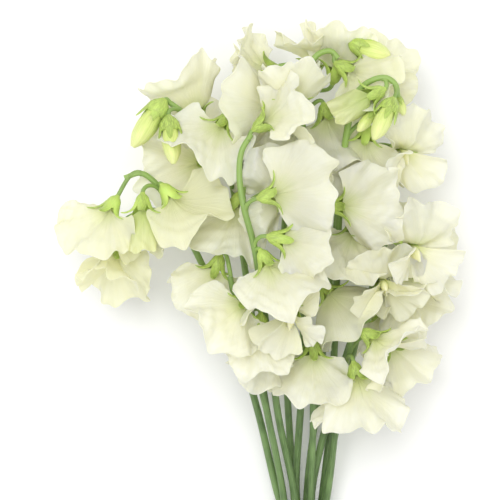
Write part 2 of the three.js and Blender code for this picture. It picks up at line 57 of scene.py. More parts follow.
# ---- Layout of the bunch ----
BAND_X = 3.0  # middle of the band
BAND_Z = 3.4  # height of the lowest layer of stems in the band
STEM_PITCH = 4.3  # between neighbouring stems in the band
ROW_PITCH = 3.9  # between layers of stems in the band
SIDE_STEP = 1  # sideways shift of each layer against the next, so that the stems nest
BAND_WIDTH = 6.0
BAND_CORNER = 2.4
BAND_COILS = 3
BAND_GAP = 0.35  # between the band and the stems
CUT_END_Y = -92.0
CUT_END_Z = 2.1  # height of the lowest layer at the cut ends
CUT_ROW_PITCH = 4.4  # between layers of stems at the cut ends
CUT_STAGGER = 4  # steps in length between neighbouring cut ends
CUT_SPLAY = 1.35  # how much wider the cut ends are spread than the stems in the band
LOOSE_Y = -40.0  # where the stems start to close up towards the band
LOOSE_Z = 2.8
LOOSE_ROW_PITCH = 4.2
LOOSE_SPLAY = 1.1
STEM_RIBS = 4
STEM_SAMPLES = 400  # places on a stem that are tried for a stalk's foot
STALK_RUN = 10  # longest way a stalk runs beside its stem
LOBES = 5  # of a calyx, each with one rib of the cup
CUP_SIDES = 20
ROOT_DEPTH = 0.8  # of the petals' roots below the calyx's rim
RIB_STEPS = 16  # short steps that a petal's ribs are followed in
NOTCH_WIDTH = 0.16  # radians from the middle of the banner's notch
FIRST_ROW = 0.03  # of a petal's mesh, as a share of the way to its edge
CLOSER_AT_EDGE = 1.3  # how much closer its rows lie near the edge
EASE_FROM = 2.5  # height below which petals bend up
NEAREST_FLOOR = 0.35  # the lowest that a bent petal comes
TOP_STEM = "centre_left"  # the stem that lies over the other flowers
TOP_FROM_Y = 118.0  # where its flowering part starts
TOP_CLEARANCE = 2.8  # from its middle to the petals under it
UNDER_TOP = 64.0  # flowers whose calyx is lower than this lie under it
PAINTED_SHADE_X = -30.0  # flowers left of here, and flowers past the Y on the next line, get the most painted shade (a yellower tone)
PAINTED_SHADE_Y = 192.0
BAND_MIDDLE = (BAND_X, 0.0, BAND_Z + ROW_PITCH)
MIDDLE_OF_BAND_BOX = (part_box("rubber_band")[0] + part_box("rubber_band")[1]) / 2
SHIFT = np.array(MIDDLE_OF_BAND_BOX) - np.array(BAND_MIDDLE) * MM

# The finishes of each kind of piece, in the order of its material slots.
BLOOM_FINISHES = ("cream petal", "young petal")
OPENED, YOUNG = range(len(BLOOM_FINISHES))
SPIKE_FINISHES = ("stem green", "calyx green", "folded bud", "cut end", "stalk green")
STEM, CALYX, POD, CUT, STALK = range(len(SPIKE_FINISHES))
RUBBER = 0

# The stage: what the camera and the lights look at, the even light round it, and each light's name,
# its place from there and its width in metres, and its power in watts.
FLOWERS_MIDDLE = (-21.5, 133.3, 50.0)
WORLD_GLOW = 0.76
LIGHTS = (("key", (-0.25, 0.3, 1.65), 0.9, 13.5), ("fill", (0.5, -0.4, 1.4), 1.4, 4.0))
SENSOR_WIDTH = 36.0

# How far each form of flower has opened. Bends and wing_rise, the side of the wings that nears the
# banner, are in degrees, folds in 1/mm.
FORMS = {
    "open": {"bend": 92, "bend_over": 15, "fold": 0.012, "wave": 0.1, "wing_rise": 26},
    "spread": {"bend": 62, "bend_over": 16, "fold": 0.02, "wave": 0.09, "wing_rise": 16},
    "hooded": {"bend": 36, "bend_over": 18, "fold": 0.03, "wave": 0.09, "wing_rise": 4},
    "half": {"bend": 12, "bend_over": 20, "fold": 0.17, "wave": 0.03, "wing_rise": None},
}


def flower(base, face, up, size, form="hooded"):
    return {"base": base, "face": face, "up": up, "form": form, "size": size}


def spike(name, slot, route, *flowers):
    return {"name": name, "slot": slot, "route": route, "flowers": flowers}


# Each spike has its column and layer in the band, and its way to the flowers. Each flower has the place
# of its calyx, the way it faces, the side its banner stands on, its size (a share of full size, or a
# bud's length) and its form.
STEMS = [
    spike(
        "left_nodding", [0, 1],
        [[-9.5, 26, 12], [-18, 62, 22], [-27, 92, 34], [-38, 118, 44], [-46, 135, 50], [-54, 150, 54],
         [-61, 161, 58], [-68, 166, 60], [-75, 164, 60]],
        flower([-78, 156, 60], [-4, -7, 0], [-2, 0, 4], 0.95),
        flower([-67, 157, 66], [0, -8, 1], [0, 0, 1], 1, "half"),
        flower([-59, 161, 62], [5, -7, -1], [2, 1, 4], 1, "spread"),
        flower([-79, 139, 48], [0, -6, 0], [2, 0, -3], 0.9),
    ),
    spike(
        "left_top", [0, 0],
        [[-7, 26, 7], [-14, 62, 14], [-20, 100, 22], [-26, 140, 34], [-31, 168, 44], [-40, 183, 52],
         [-50, 192, 58], [-57, 197, 60]],
        flower([-42, 187, 45], [-2, 4, 1], [0, -1, 4], 0.95),
        flower([-30, 191, 62], [-3, -4, 1], [0, 1, 5], 1),
        flower([-36, 172, 45], [-5, -1, 0], [0, 0, 1], 1.1),
        flower([-40, 178, 24], [-4, 2, -4], [0, 3, -1], 0.9, "open"),
        flower([-58, 197, 62], [-6, -9, 0], [0, 0, 1], 24, "bud"),
        flower([-56, 190, 66], [1, -9, 1], [0, 0, 1], 21, "bud"),
    ),
    spike(
        "centre_left", [1, 2],
        [[-2, 26, 17], [-9, 60, 28], [-13, 90, 42], [-16.5, 115, 56], [-20, 136, 68], [-24, 151, 72],
         [-26, 165, 72], [-25, 175, 72], [-21, 182, 72]],
        flower([-20, 184, 72], [5, 3, 1], [-1, 3, 4], 0.85),
        flower([-18, 155, 76], [5, 1, 0], [0, 1, 4], 1.05),
        flower([-14, 139, 74], [5, -1, -1], [0, 0, 1], 0.85),
        flower([-17, 133, 70], [3, -6, 1], [1, 1, 5], 1.05),
        flower([-25, 158, 54], [-2, -5, 0], [-1, 0, 4], 1),
        flower([-7, 158, 55], [0, -1, 4], [0, 4, 1], 1, "open"),
    ),
    spike(
        "top_left", [1, 0],
        [[-2, 26, 7], [-5, 70, 14], [-7, 110, 22], [-6, 150, 32], [-2, 190, 40], [-1, 206, 42],
         [-4, 213, 42], [-9, 213, 41]],
        flower([-8, 211, 38], [-5, 1, 0], [0, 2, 2], 0.8, "spread"),
        flower([-3.5, 193, 56], [-5, 1, 1], [1, 1, 5], 1.05),
        flower([-3, 189, 64], [0, 5, 1], [0, -1, 4], 0.8),
        flower([-10, 177, 38], [-2, -2, 4], [0, 4, 1], 0.9, "open"),
    ),
    spike(
        "top", [1, 1],
        [[-1, 26, 12], [1, 67, 22], [2, 110, 34], [2, 150, 46], [1, 185, 54], [1.5, 203, 58],
         [4, 212, 60], [8, 217, 60], [13, 218, 60], [16, 215, 60]],
        flower([6, 207, 40], [0, 5, 1], [-3, 0, 2], 0.8, "spread"),
        flower([15, 213, 60], [5, -3, 0], [0, 1, 4], 0.9),
        flower([14, 205, 49], [1, 5, 1], [0, -1, 4], 0.85),
        flower([10, 196, 52], [1, -5, 0], [1, 0, 3], 1),
    ),
    spike(
        "top_right", [2, 0],
        [[4, 26, 7], [9, 70, 12], [13, 110, 18], [17, 150, 26], [20, 190, 36], [22, 212, 44],
         [24, 220, 48]],
        flower([21, 223, 56], [5, -3, 0], [1, 2, 0], 19, "bud"),
        flower([31, 205, 34], [1, 1, 4], [1, 4, 0], 0.85, "open"),
        flower([11, 181, 38], [0, -5, 1], [0, 1, 5], 0.9),
    ),
    spike(
        "right_nodding", [2, 1],
        [[6, 26, 12], [14, 67, 20], [16, 110, 34], [17, 150, 48], [20, 185, 60], [24, 200, 66],
         [30, 205, 69], [36, 206, 70], [40, 203, 70], [41, 198, 69]],
        flower([35, 201, 72], [-8, -4, 1], [0, 0, 1], 0.95, "half"),
        flower([39, 197, 74], [-4, -8, 1], [0, 0, 1], 20, "bud"),
        flower([32, 193, 68], [-5, -6, 1], [0, 0, 1], 13, "bud"),
        flower([41, 199, 66], [1, -6, 0], [1, 0, 0], 9, "bud"),
        flower([29, 187, 56], [-1, -5, 0], [0, 1, 4], 1),
        flower([40, 178, 44], [2, -1, 3], [1, 4, 0], 0.85, "open"),
    ),
    spike(
        "right", [3, 1],
        [[12, 26, 12], [20, 70, 19], [28, 105, 32], [34, 125, 42], [38, 140, 46], [42, 148, 48]],
        flower([11, 152, 64], [5, 0, 0], [0, 0, 4], 1),
        flower([44, 137, 50], [2, -1, 3], [1, 4, 1], 0.9, "open"),
        flower([45, 130, 36], [1, -4, 1], [2, 1, 3], 0.95, "spread"),
        flower([24, 147, 47], [-1, -5, 1], [0, 0, 4], 1),
        flower([34, 124, 44], [1, -2, 4], [0, 4, 2], 0.85, "open"),
    ),
    spike(
        "right_low", [3, 0],
        [[11, 26, 7], [17, 70, 9], [26, 100, 14], [36, 117, 22], [42, 126, 26]],
        flower([38, 118, 30], [4, -4, 0], [0, 0, 3], 0.9),
        flower([36, 112, 18], [1, -5, -1], [1, 0, 3], 0.85),
        flower([44, 130, 22], [4, 3, -4], [0, 1, 0], 0.9, "open"),
    ),
    spike(
        "low_right", [3, 2],
        [[13, 26, 17], [17.5, 67, 28], [21, 88, 44], [24, 100, 52], [30, 104, 54]],
        flower([26, 99, 62], [4, -3, 1], [0, 2, 4], 0.9, "spread"),
        flower([23, 85, 52], [1, -5, 0], [2, 0, 3], 1.05),
        flower([35, 96, 40], [4, -4, -1], [1, 1, 3], 0.85),
    ),
    spike(
        "low_middle", [2, 2],
        [[5.5, 26, 17], [6, 67, 32], [4, 90, 48], [3, 104, 58], [2, 112, 62]],
        flower([-3, 110, 62], [-1, -2, 4], [-1, 4, 1], 0.85, "open"),
        flower([5.5, 95, 52], [0, -5, 0], [0, 0, 1], 0.95),
        flower([8, 119, 46], [4, -4, 1], [0, 1, 3], 1),
        flower([-1, 91, 52], [-4, -1, 2], [0, 1, 1], 10, "bud"),
    ),
    spike(
        "low_left", [0, 2],
        [[-7, 26, 17], [-14, 62, 32], [-22, 92, 48], [-28, 112, 58], [-30, 122, 60]],
        flower([-20, 115, 64], [-4, -4, 1], [0, 0, 1], 0.95),
        flower([-34, 131, 56], [-2, -5, -1], [0, 0, 3], 0.85),
        flower([-17, 106, 63], [0, -5, 0], [0, 0, 1], 0.8),
        flower([-15.5, 99, 52], [1, -5, -1], [0, 0, 3], 0.8),
    ),
]
for number, entry in enumerate(STEMS):
    for count, blossom in enumerate(entry["flowers"], 1):
        blossom["seed"] = 10 * number + count


# ---- Sizes and colours ----
def length(name, description, default):
    return bpy.props.FloatProperty(
        name=name, description=description, default=default * MM, min=0.0, unit="LENGTH", subtype="DISTANCE"
    )


def colour(name, description, default):
    return bpy.props.FloatVectorProperty(
        name=name, description=description, default=default, size=3, min=0.0, max=1.0, subtype="COLOR"
    )


class SweetPeaSizes(bpy.types.PropertyGroup):
    """Sizes of the flowers and their green parts."""

    stem_radius: length("Stem radius", "Radius of a stem at its cut end", 1.8)
    tip_radius: length("Tip radius", "Radius of a stem where its flower spike ends", 1.1)
    stalk_radius: length("Stalk radius", "Radius of a flower's own stalk", 0.9)
    banner_reach: length("Banner reach", "Claw to top edge of the big back petal", 30.5)
    wing_reach: length("Wing reach", "Claw to top edge of the two middle petals", 25.0)
    young_reach: length("Young banner reach", "Claw to edge of a half-open flower's petal", 22.0)
    petal_thickness: length("Petal thickness", "Thickness of every petal", 0.24)
    ruffle_height: length("Ruffle height", "Height of the fine waves along a petal's edge", 1.6)
    calyx_depth: length("Calyx depth", "Depth of the green cup that holds the petals", 5.0)
    calyx_radius: length("Calyx radius", "Radius of the green cup at its rim", 3.4)
    lobe_length: length("Lobe length", "Length of the cup's pointed lobes", 6.0)
    bud_fullness: bpy.props.FloatProperty(
        name="Bud fullness", description="Half the width of a bud as a share of its length",
        default=0.23, min=0.1, max=0.4, subtype="FACTOR",
    )
    band_thickness: length("Band thickness", "Thickness of the rubber band", 1.2)
    camera_height: length("Camera height", "Height of the camera above the middle of the flowers", 1100.0)
    view_width: length("View width", "Width of the picture at the height of the flowers", 215.0)


class SweetPeaColours(bpy.types.PropertyGroup):
    """Colours of the petals, the green parts and the stage."""

    petal_claw: colour("Petal claw", "Colour of a petal near its claw", (0.62, 0.70, 0.22))
    petal_middle: colour("Petal middle", "Colour of the middle of a petal", (0.88, 0.86, 0.555))
    petal_edge: colour("Petal edge", "Colour of a petal's edge", (0.89, 0.88, 0.67))
    # painted shade: a yellower tone mixed into the petals, most on the flowers at the left and the top of the
    # bunch
    petal_shade: colour("Petal shade", "Yellower colour of the freshest petals", (0.86, 0.85, 0.43))
    young_claw: colour("Young claw", "Colour of a half-open petal near its claw", (0.42, 0.60, 0.12))
    young_edge: colour("Young edge", "Colour of a half-open petal's edge", (0.76, 0.80, 0.36))
    stem_green: colour("Stem green", "Main colour of the stems", (0.175, 0.28, 0.10))
    stem_dark: colour("Stem dark", "Darker streaks of the stems", (0.085, 0.15, 0.05))
    stalk_green: colour("Stalk green", "Colour of the stalks and the stems' tips", (0.30, 0.45, 0.12))
    calyx_green: colour("Calyx green", "Colour of the cups and their lobes", (0.50, 0.66, 0.15))
    bud_green: colour("Bud green", "Colour of a bud near its cup", (0.66, 0.78, 0.21))
    bud_tip: colour("Bud tip", "Colour of a bud's tip", (0.84, 0.87, 0.42))
    cut_end: colour("Cut end", "Colour of the stems' cut ends", (0.55, 0.66, 0.36))
    rubber: colour("Rubber", "Colour of the rubber band", (0.56, 0.36, 0.18))
    floor: colour("Floor", "Colour of the floor", (0.97, 0.97, 0.97))


# ---- Small helpers ----
def unit(v):
    v = np.asarray(v, float)
    return v / np.linalg.norm(v)


def smooth(t):
    t = np.clip(t, 0.0, 1.0)
    return t * t * (3 - 2 * t)


def turns(count):
    """Even steps once round a circle."""
    return np.arange(count) * 2 * math.pi / count


def circle(angles, z, radius=1.0):
    """Places round a circle at the height z."""
    return np.stack([radius * np.cos(angles), radius * np.sin(angles), np.full(len(angles), z)], 1)


def distances(points):
    """The way along a line of points from its start to each of them."""
    return np.concatenate([[0], np.cumsum(np.linalg.norm(np.diff(points, axis=0), axis=1))])


def draws_for(seed):
    """Repeatable numbers from 0 to 1 for one flower, the same as in the part's source."""
    state = (seed * 9301 + 49297) % 233280
    while True:
        state = (state * 9301 + 49297) % 233280
        yield state / 233280


def pose(flower):
    """Axes (as rows) and place of one flower. Z looks along its face, and Y is as near to up as can be."""
    z = unit(flower["face"])
    y = np.array(flower["up"], float)
    y = unit(y - z * y.dot(z))
    return np.array([np.cross(y, z), y, z]), np.array(flower["base"], float)


def placed(points, flower):
    axes, base = pose(flower)
    return np.asarray(points) @ axes + base


def over_floor(points):
    """Bends what would pass under the floor up to it, and keeps the order of the layers."""
    ease = EASE_FROM - NEAREST_FLOOR
    z = points[..., 2]
    eased = NEAREST_FLOOR + ease * np.exp((np.minimum(z, EASE_FROM) - EASE_FROM) / ease)
    points[..., 2] = np.where(z < EASE_FROM, eased, z)
    return points


# ---- Gathering a mesh ----
def between_rings(near, far):
    """Faces between rings of point numbers and the rings that follow them."""
    near_turned, far_turned = (np.roll(ring, -1, axis=1) for ring in (near, far))
    return list(zip(near.ravel(), near_turned.ravel(), far_turned.ravel(), far.ravel()))


class Shell:
    """Closed skins gathered for one piece, with a flow vector for each point that its finishes read."""

    def __init__(self):
        self.points = []
        self.flow = []
        self.faces = []
        self.finishes = []
        self.count = 0

    def add(self, points, flow, faces, finish):
        points = np.asarray(points, float).reshape(-1, 3)
        self.points.append(points)
        self.flow.append(np.asarray(flow, float).reshape(-1, 3))
        self.faces += [tuple(self.count + i for i in face) for face in faces]
        self.finishes += [finish] * len(faces)
        self.count += len(points)

    def sheet(self, grid, thickness, flow, finish):
        """A thin petal or lobe from a grid of places on its middle surface."""
        rows, columns = grid.shape[:2]
        normal = np.cross(np.gradient(grid, axis=0), np.gradient(grid, axis=1))
        normal /= np.maximum(np.linalg.norm(normal, axis=2, keepdims=True), 1e-9)
        half = np.broadcast_to(np.asarray(thickness, float) / 2, grid.shape[:2])[..., None]
        points = np.concatenate([(grid + side * normal * half).reshape(-1, 3) for side in (1, -1)])
        number = np.arange(rows * columns).reshape(rows, columns)
        back = rows * columns
        a, b = number[:-1, :-1].ravel(), number[1:, :-1].ravel()
        c, d = number[1:, 1:].ravel(), number[:-1, 1:].ravel()
        faces = list(zip(a, b, c, d)) + list(zip(d + back, c + back, b + back, a + back))
        rim = np.concatenate([number[:, 0], number[-1, 1:], number[-2::-1, -1], number[0, -2:0:-1]])
        after = np.roll(rim, -1)
        faces += list(zip(after, rim, rim + back, after + back))
        self.add(points, np.concatenate([flow.reshape(-1, 3)] * 2), faces, finish)

    def loft(self, rings, flow, finish, cap_finish=None):
        """Rings joined end to end and closed at both ends by a middle point."""
        rings = np.asarray(rings, float)
        rows, sides = rings.shape[:2]
        number = np.arange(rows * sides).reshape(rows, sides)
        turned = np.roll(number, -1, axis=1)
        first, last = rows * sides, rows * sides + 1
        caps = [(first, turned[0, k], number[0, k]) for k in range(sides)]
        caps += [(last, number[-1, k], turned[-1, k]) for k in range(sides)]
        points = np.concatenate([rings.reshape(-1, 3), [rings[0].mean(0), rings[-1].mean(0)]])
        flow = np.asarray(flow, float).reshape(rows, sides, 3)
        flow = np.concatenate([flow.reshape(-1, 3), [flow[0].mean(0), flow[-1].mean(0)]])
        self.add(points, flow, between_rings(number[:-1], number[1:]) + caps, finish)
        if cap_finish is not None:
            self.finishes[-2 * sides :] = [cap_finish] * (2 * sides)

    def hoop(self, rings, flow, finish):
        """Rings joined end to end and round to the first one."""
        number = np.arange(rings.shape[0] * rings.shape[1]).reshape(rings.shape[:2])
        self.add(rings, flow, between_rings(number, np.roll(number, -1, axis=0)), finish)

    def piece(self, name, materials, node, slot, sharp):
        """The gathered skins as one object that stands for one CAD node."""
        points = np.concatenate(self.points) * MM + SHIFT
        mesh = bpy.data.meshes.new(name)
        mesh.from_pydata(points.tolist(), [], [[int(i) for i in face] for face in self.faces])
        mesh.attributes.new("flow", "FLOAT_VECTOR", "POINT").data.foreach_set(
            "vector", np.concatenate(self.flow).astype(np.float32).ravel()
        )
        for material in materials:
            mesh.materials.append(material)
        mesh.polygons.foreach_set("material_index", self.finishes)
        obj = bpy.data.objects.new(name, mesh)
        bpy.context.scene.collection.objects.link(obj)
        bpy.ops.object.select_all(action="DESELECT")
        obj.select_set(True)
        bpy.context.view_layer.objects.active = obj
        bpy.ops.object.shade_smooth_by_angle(angle=math.radians(sharp))
        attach(obj, BODY)
        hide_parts(node)


# ---- Petals ----
def waves_of(rows, angle):
    """The sum of (height, count, phase) waves at an angle seen from the claw."""
    return sum(height * np.sin(count * angle + phase) for height, count, phase in rows)


def petal_surface(spec, angles, shares):
    """Places on a petal's middle surface: a narrow claw that opens like a fan, bends and waves."""
    ahead, aside, lift = spec["frame"]
    angle = angles[None, :]
    share = shares[:, None]
    notch = 1 - spec["notch"] * np.exp(-((angle / NOTCH_WIDTH) ** 2))
    scallop = 1 + waves_of(spec["scallops"], angle)
    outline = spec["reach"] * np.cos(0.9 * angle) ** spec["roundness"] * notch * scallop
    step = outline * share / RIB_STEPS
    forward = np.zeros(step.shape)
    lifted = np.zeros(step.shape)
    across = np.zeros(step.shape)
    for s in range(RIB_STEPS):
        distance = (s + 0.5) * step
        opening = angle * (0.1 + 0.9 * smooth(distance / spec["claw"]))
        heading = spec["bend"] * smooth(distance / spec["bend_over"])
        forward += np.cos(opening) * np.cos(heading) * step
        lifted += np.cos(opening) * np.sin(heading) * step
        across += np.sin(opening) * step
    normal = -np.sin(heading)[..., None] * ahead + np.cos(heading)[..., None] * lift
    fold = spec["fold"]
    wrap = (1 - np.cos(fold * across)) / fold
    ripple = spec["wave"] * spec["reach"] * share**2 * np.sin(spec["waves"] * angle + spec["phase"])
    ripple = ripple + share**3 * waves_of(spec["ruffles"], angle) + share**6 * waves_of(spec["frills"], angle)
    for height, near, far, phase in spec["crumples"]:
        ripple = ripple + height * smooth(2 * share) * np.sin(near * across + far * outline * share + phase)
    for side, start, drop in spec["flops"]:
        past = np.logaddexp(0, (side * angle - start) / 0.09) * 0.09
        ripple = ripple + drop * past * outline * share**2
    crease = spec["crease"] * np.exp(-((angle / 0.1) ** 2)) * share * (1 - 0.6 * share)
    curl = spec["curl"] * smooth((share - 0.78) / 0.22) * np.cos(spec["curls"] * angle)
    along = spec["root"] + forward[..., None] * ahead + lifted[..., None] * lift
    along = along + (np.sin(fold * across) / fold)[..., None] * aside
    return along + (ripple + curl - wrap - crease)[..., None] * normal


def fine_waves(random, ruffle, size):
    """The fine waves, crumples and turned-over sides of one petal, each petal its own."""

    def between(low, high):
        return low + (high - low) * random.random_sample()

    def wave(low, high, fewest, most):
        return between(low, high), between(fewest, most), between(0, 2 * math.pi)

    height = ruffle * size
    return {
        "scallops": [wave(0.02, 0.05, 4.5, 7), wave(0.01, 0.03, 10, 14), wave(0.005, 0.013, 21, 28)],
        "ruffles": [wave(0.8 * height, 1.7 * height, 6.5, 9.5)],
        "frills": [wave(0.4 * height, 0.9 * height, 13, 18), wave(0.15 * height, 0.35 * height, 21, 28)],
        "crumples": [
            (between(0.15, 0.4), between(-0.9, 0.9), between(0.3, 0.8), between(0, 2 * math.pi)),
            (between(0.1, 0.3), between(-1.4, 1.4), between(0.5, 1.1), between(0, 2 * math.pi)),
        ],
        "flops": [(side, between(0.45, 1.0), between(-0.7, 0.55)) for side in (-1, 1)],
        "curl": ruffle * between(-1.1, 1.1),
        "curls": between(1.5, 3.5),
    }


def petal_specs(flower, sizes):
    """The shapes of one flower's petals in its own frame: Z is the way it faces, Y the banner's side."""
    draw = draws_for(flower["seed"])
    random = np.random.RandomState(1000 + flower["seed"])
    form = FORMS[flower["form"]]
    x, y, z = np.eye(3)
    size = flower["size"]
    ruffle = sizes.ruffle_height / MM
    root_height = sizes.calyx_depth / MM - ROOT_DEPTH

    def wing(hand):
        return {
            "root": np.array([hand * 0.5, 0.8, root_height + 1.7]),
            "frame": (unit([hand * 0.25, -0.35, 1]), unit([0, 1, 0.35]), x * hand),
            "reach": sizes.wing_reach / MM * size,
            "span": (-72, form["wing_rise"]),
            "claw": 4,
            "bend": math.radians(40 + 20 * next(draw)),
            "bend_over": 16,
            "fold": 0.045,
            "wave": 0.06,
            "waves": 4 + next(draw),
            "phase": 2 * math.pi * next(draw),
            "roundness": 0.45,
            "notch": 0,
            "crease": 0,
            "rows": 16,
            "columns": 56,
            **fine_waves(random, ruffle, size),
        }

    banner = {
        "root": np.array([0, 0.8, root_height]),
        "frame": (z, x, y),
        "reach": sizes.banner_reach / MM * size,
        "span": (-90, 90),
        "claw": 5,
        "bend": math.radians(form["bend"] + 20 * (next(draw) - 0.5)),
        "bend_over": form["bend_over"],
        "fold": form["fold"],
        "wave": form["wave"],
        "waves": 4.2 + next(draw),
        "phase": 2 * math.pi * next(draw),
        "roundness": 0.35,
        "notch": 0.1,
        "crease": 1.1,
        "rows": 20,
        "columns": 112,
        **fine_waves(random, ruffle, size),
    }
    if form["wing_rise"] is None:
        return [{**banner, "span": (-62, 62), "reach": sizes.young_reach / MM * size}]
    return [banner, *(wing(hand) for hand in (-1, 1))]


def keel_rings(size, root_height):
    """The small closed boat between the wings, curved up at its tip."""
    rings = []
    for t in np.linspace(0, 1, 12):
        centre = np.array([0, -1.4 - 3.4 * t**2, root_height + 12 * size * t])
        width = 0.25 + 1.5 * math.sin(math.pi * min(t + 0.08, 1)) ** 0.8
        depth = 0.35 + 1.9 * math.sin(math.pi * min(t + 0.05, 1)) ** 0.7
        angles = turns(16)
        ring = np.stack([width * np.cos(angles), depth * np.sin(angles), 0.6 * depth * np.sin(angles)], 1)
        rings.append(centre + ring)
    return np.array(rings)


def under_top_stem(points):
    """Bends down what would cover the stem that lies over the other flowers."""
    line = top_stem_line()
    flat = points.reshape(-1, 3)
    distance = np.linalg.norm(flat[:, None, :2] - line[None, :, :2], axis=2)
    limit = line[None, :, 2] - TOP_CLEARANCE + np.maximum(distance - TOP_CLEARANCE, 0)
    flat[:, 2] = np.minimum(flat[:, 2], limit.min(axis=1))
    return flat.reshape(points.shape)


def painted_shade_amount(flower):
    """How much painted shade, a yellower tone, a flower gets: most at the left and the top of the bunch."""
    x, y, _ = flower["base"]
    return 0.1 + 0.6 * smooth((PAINTED_SHADE_X - x) / 35) + 0.4 * smooth((y - PAINTED_SHADE_Y) / 20)


def bloom_shell(flower, sizes):
    """The petals of one open or half-open flower."""
    shell = Shell()
    covered = flower["base"][2] < UNDER_TOP
    random = np.random.RandomState(5000 + flower["seed"])
    young = flower["form"] == "half"
    for spec in petal_specs(flower, sizes):
        low, high = (math.radians(a) for a in spec["span"])
        angles = np.linspace(low, high, spec["columns"] + 1)
        inwards = np.linspace(1, 0, spec["rows"] + 1)
        shares = 1 - (1 - FIRST_ROW) * inwards**CLOSER_AT_EDGE
        grid = over_floor(placed(petal_surface(spec, angles, shares), flower))
        if covered:
            grid = under_top_stem(grid)
        # painted shade per petal: more by the flower's place in the bunch, plus a random share for each petal
        shade_and_tone = painted_shade_amount(flower) + 0.4 * random.random_sample()
        flow = np.stack(np.broadcast_arrays(angles, shares[:, None], shade_and_tone), -1)
        shell.sheet(grid, sizes.petal_thickness / MM, flow, YOUNG if young else OPENED)
    if not young:
        rings = keel_rings(flower["size"], sizes.calyx_depth / MM - ROOT_DEPTH)
        flow = np.zeros(rings.shape)
        flow[..., 1] = np.linspace(0.1, 0.6, len(rings))[:, None]
        shell.loft(over_floor(placed(rings, flower)), flow, OPENED)
    return shell


# ---- Stems, stalks and calyces ----
def stem_points(stem):
    """The points that a stem's curve passes, from its cut end through the band to its tip."""
    column, row = stem["slot"]
    offset = (column - 1.5) * STEM_PITCH + SIDE_STEP * (1 if row == 1 else -1)
    cut_y = CUT_END_Y + CUT_STAGGER * ((column + 2 * row) % 3)
    height = BAND_Z + row * ROW_PITCH
    start = [
        (BAND_X + offset * CUT_SPLAY, cut_y, CUT_END_Z + row * CUT_ROW_PITCH),
        (BAND_X + offset * LOOSE_SPLAY, LOOSE_Y, LOOSE_Z + row * LOOSE_ROW_PITCH),
        (BAND_X + offset, -BAND_WIDTH / 2, height),
        (BAND_X + offset, BAND_WIDTH / 2, height),
    ]
    return np.array(start + list(stem["route"]), float)


def along_curve(points, t):
    """Place at t (0 to 1) on the centripetal curve through the points."""
    last = len(points) - 1
    p = last * t
    i = min(int(p), last - 1)
    w = p - i
    p1, p2 = points[i], points[i + 1]
    p0 = points[i - 1] if i > 0 else 2 * points[0] - points[1]
    p3 = points[i + 2] if i + 2 <= last else 2 * points[-1] - points[-2]
    d0, d1, d2 = (math.sqrt(np.linalg.norm(b - a)) for a, b in ((p0, p1), (p1, p2), (p2, p3)))
    m1 = ((p1 - p0) / d0 - (p2 - p0) / (d0 + d1) + (p2 - p1) / d1) * d1
    m2 = ((p2 - p1) / d1 - (p3 - p1) / (d1 + d2) + (p3 - p2) / d2) * d1
    return p1 + m1 * w + (-3 * p1 + 3 * p2 - 2 * m1 - m2) * w**2 + (2 * p1 - 2 * p2 + m1 + m2) * w**3


@functools.cache
def top_stem_line():
    """Close places along the flowering part of the stem that lies over the other flowers."""
    stem = next(entry for entry in STEMS if entry["name"] == TOP_STEM)
    points = stem_points(stem)
    line = np.array([along_curve(points, t) for t in np.linspace(0, 1, 150)])
    return line[line[:, 1] > TOP_FROM_Y]


def tube(shell, centres, radii, sides, rib_height, finish, cap_finish=None):
    """A ribbed tube along a line of centres."""
    centres = np.asarray(centres, float)
    along = np.gradient(centres, axis=0)
    along /= np.linalg.norm(along, axis=1, keepdims=True)
    angles = turns(sides)
    ribbed = 1 + rib_height * np.cos(STEM_RIBS * angles)
    across = np.array([0.0, 0.0, 1.0])
    rings, flow = [], []
    for centre, direction, radius, distance in zip(centres, along, radii, distances(centres)):
        across = across - direction * across.dot(direction)
        if np.linalg.norm(across) < 1e-6:
            across = np.cross(direction, [1.0, 0.0, 0.0])
        across = unit(across)
        third = np.cross(direction, across)
        ring = centre + radius * ribbed[:, None] * (
            np.cos(angles)[:, None] * across + np.sin(angles)[:, None] * third
        )
        rings.append(ring)
        flow.append(circle(angles, distance))
    shell.loft(rings, flow, finish, cap_finish)


def stalk_line(points, flower):
    """The flower's own stalk: it leaves the stem a little below the place nearest to the flower."""
    base = np.array(flower["base"], float)
    ends = distances(points)

    def on_stem(s):
        s = min(max(s, 0), ends[-1])
        i = min(int(np.searchsorted(ends, s, side="right")) - 1, len(ends) - 2)
        way = unit(points[i + 1] - points[i])
        return points[i] + way * (s - ends[i]), way

    places = [ends[-1] * i / STEM_SAMPLES for i in range(STEM_SAMPLES)]
    nearest = min(places, key=lambda s: np.linalg.norm(on_stem(s)[0] - base))
    distance = np.linalg.norm(on_stem(nearest)[0] - base)
    point, away = on_stem(nearest - 0.8 * min(distance, STALK_RUN))
    slack = 0.4 * np.linalg.norm(point - base)
    face = unit(flower["face"])
    a, b, c, d = point, point + away * slack, base - face * slack, base
    t = np.linspace(0, 1, 14)[:, None]
    line = a * (1 - t) ** 3 + 3 * b * t * (1 - t) ** 2 + 3 * c * t**2 * (1 - t) + d * t**3
    return np.concatenate([line, [base + face * 0.8]])


def cup(shell, flower, profile, rib_height):
    """A ribbed green cup round the flower's axis, from (height, radius) rows."""
    angles = turns(CUP_SIDES) + math.pi / 2
    rings, flow = [], []
    for z, radius in profile:
        r = radius * (1 + rib_height * np.cos(LOBES * (angles - math.pi / 2)))
        rings.append(circle(angles, z, r))
        flow.append(circle(angles, z))
    shell.loft(over_floor(placed(np.array(rings), flower)), flow, CALYX)


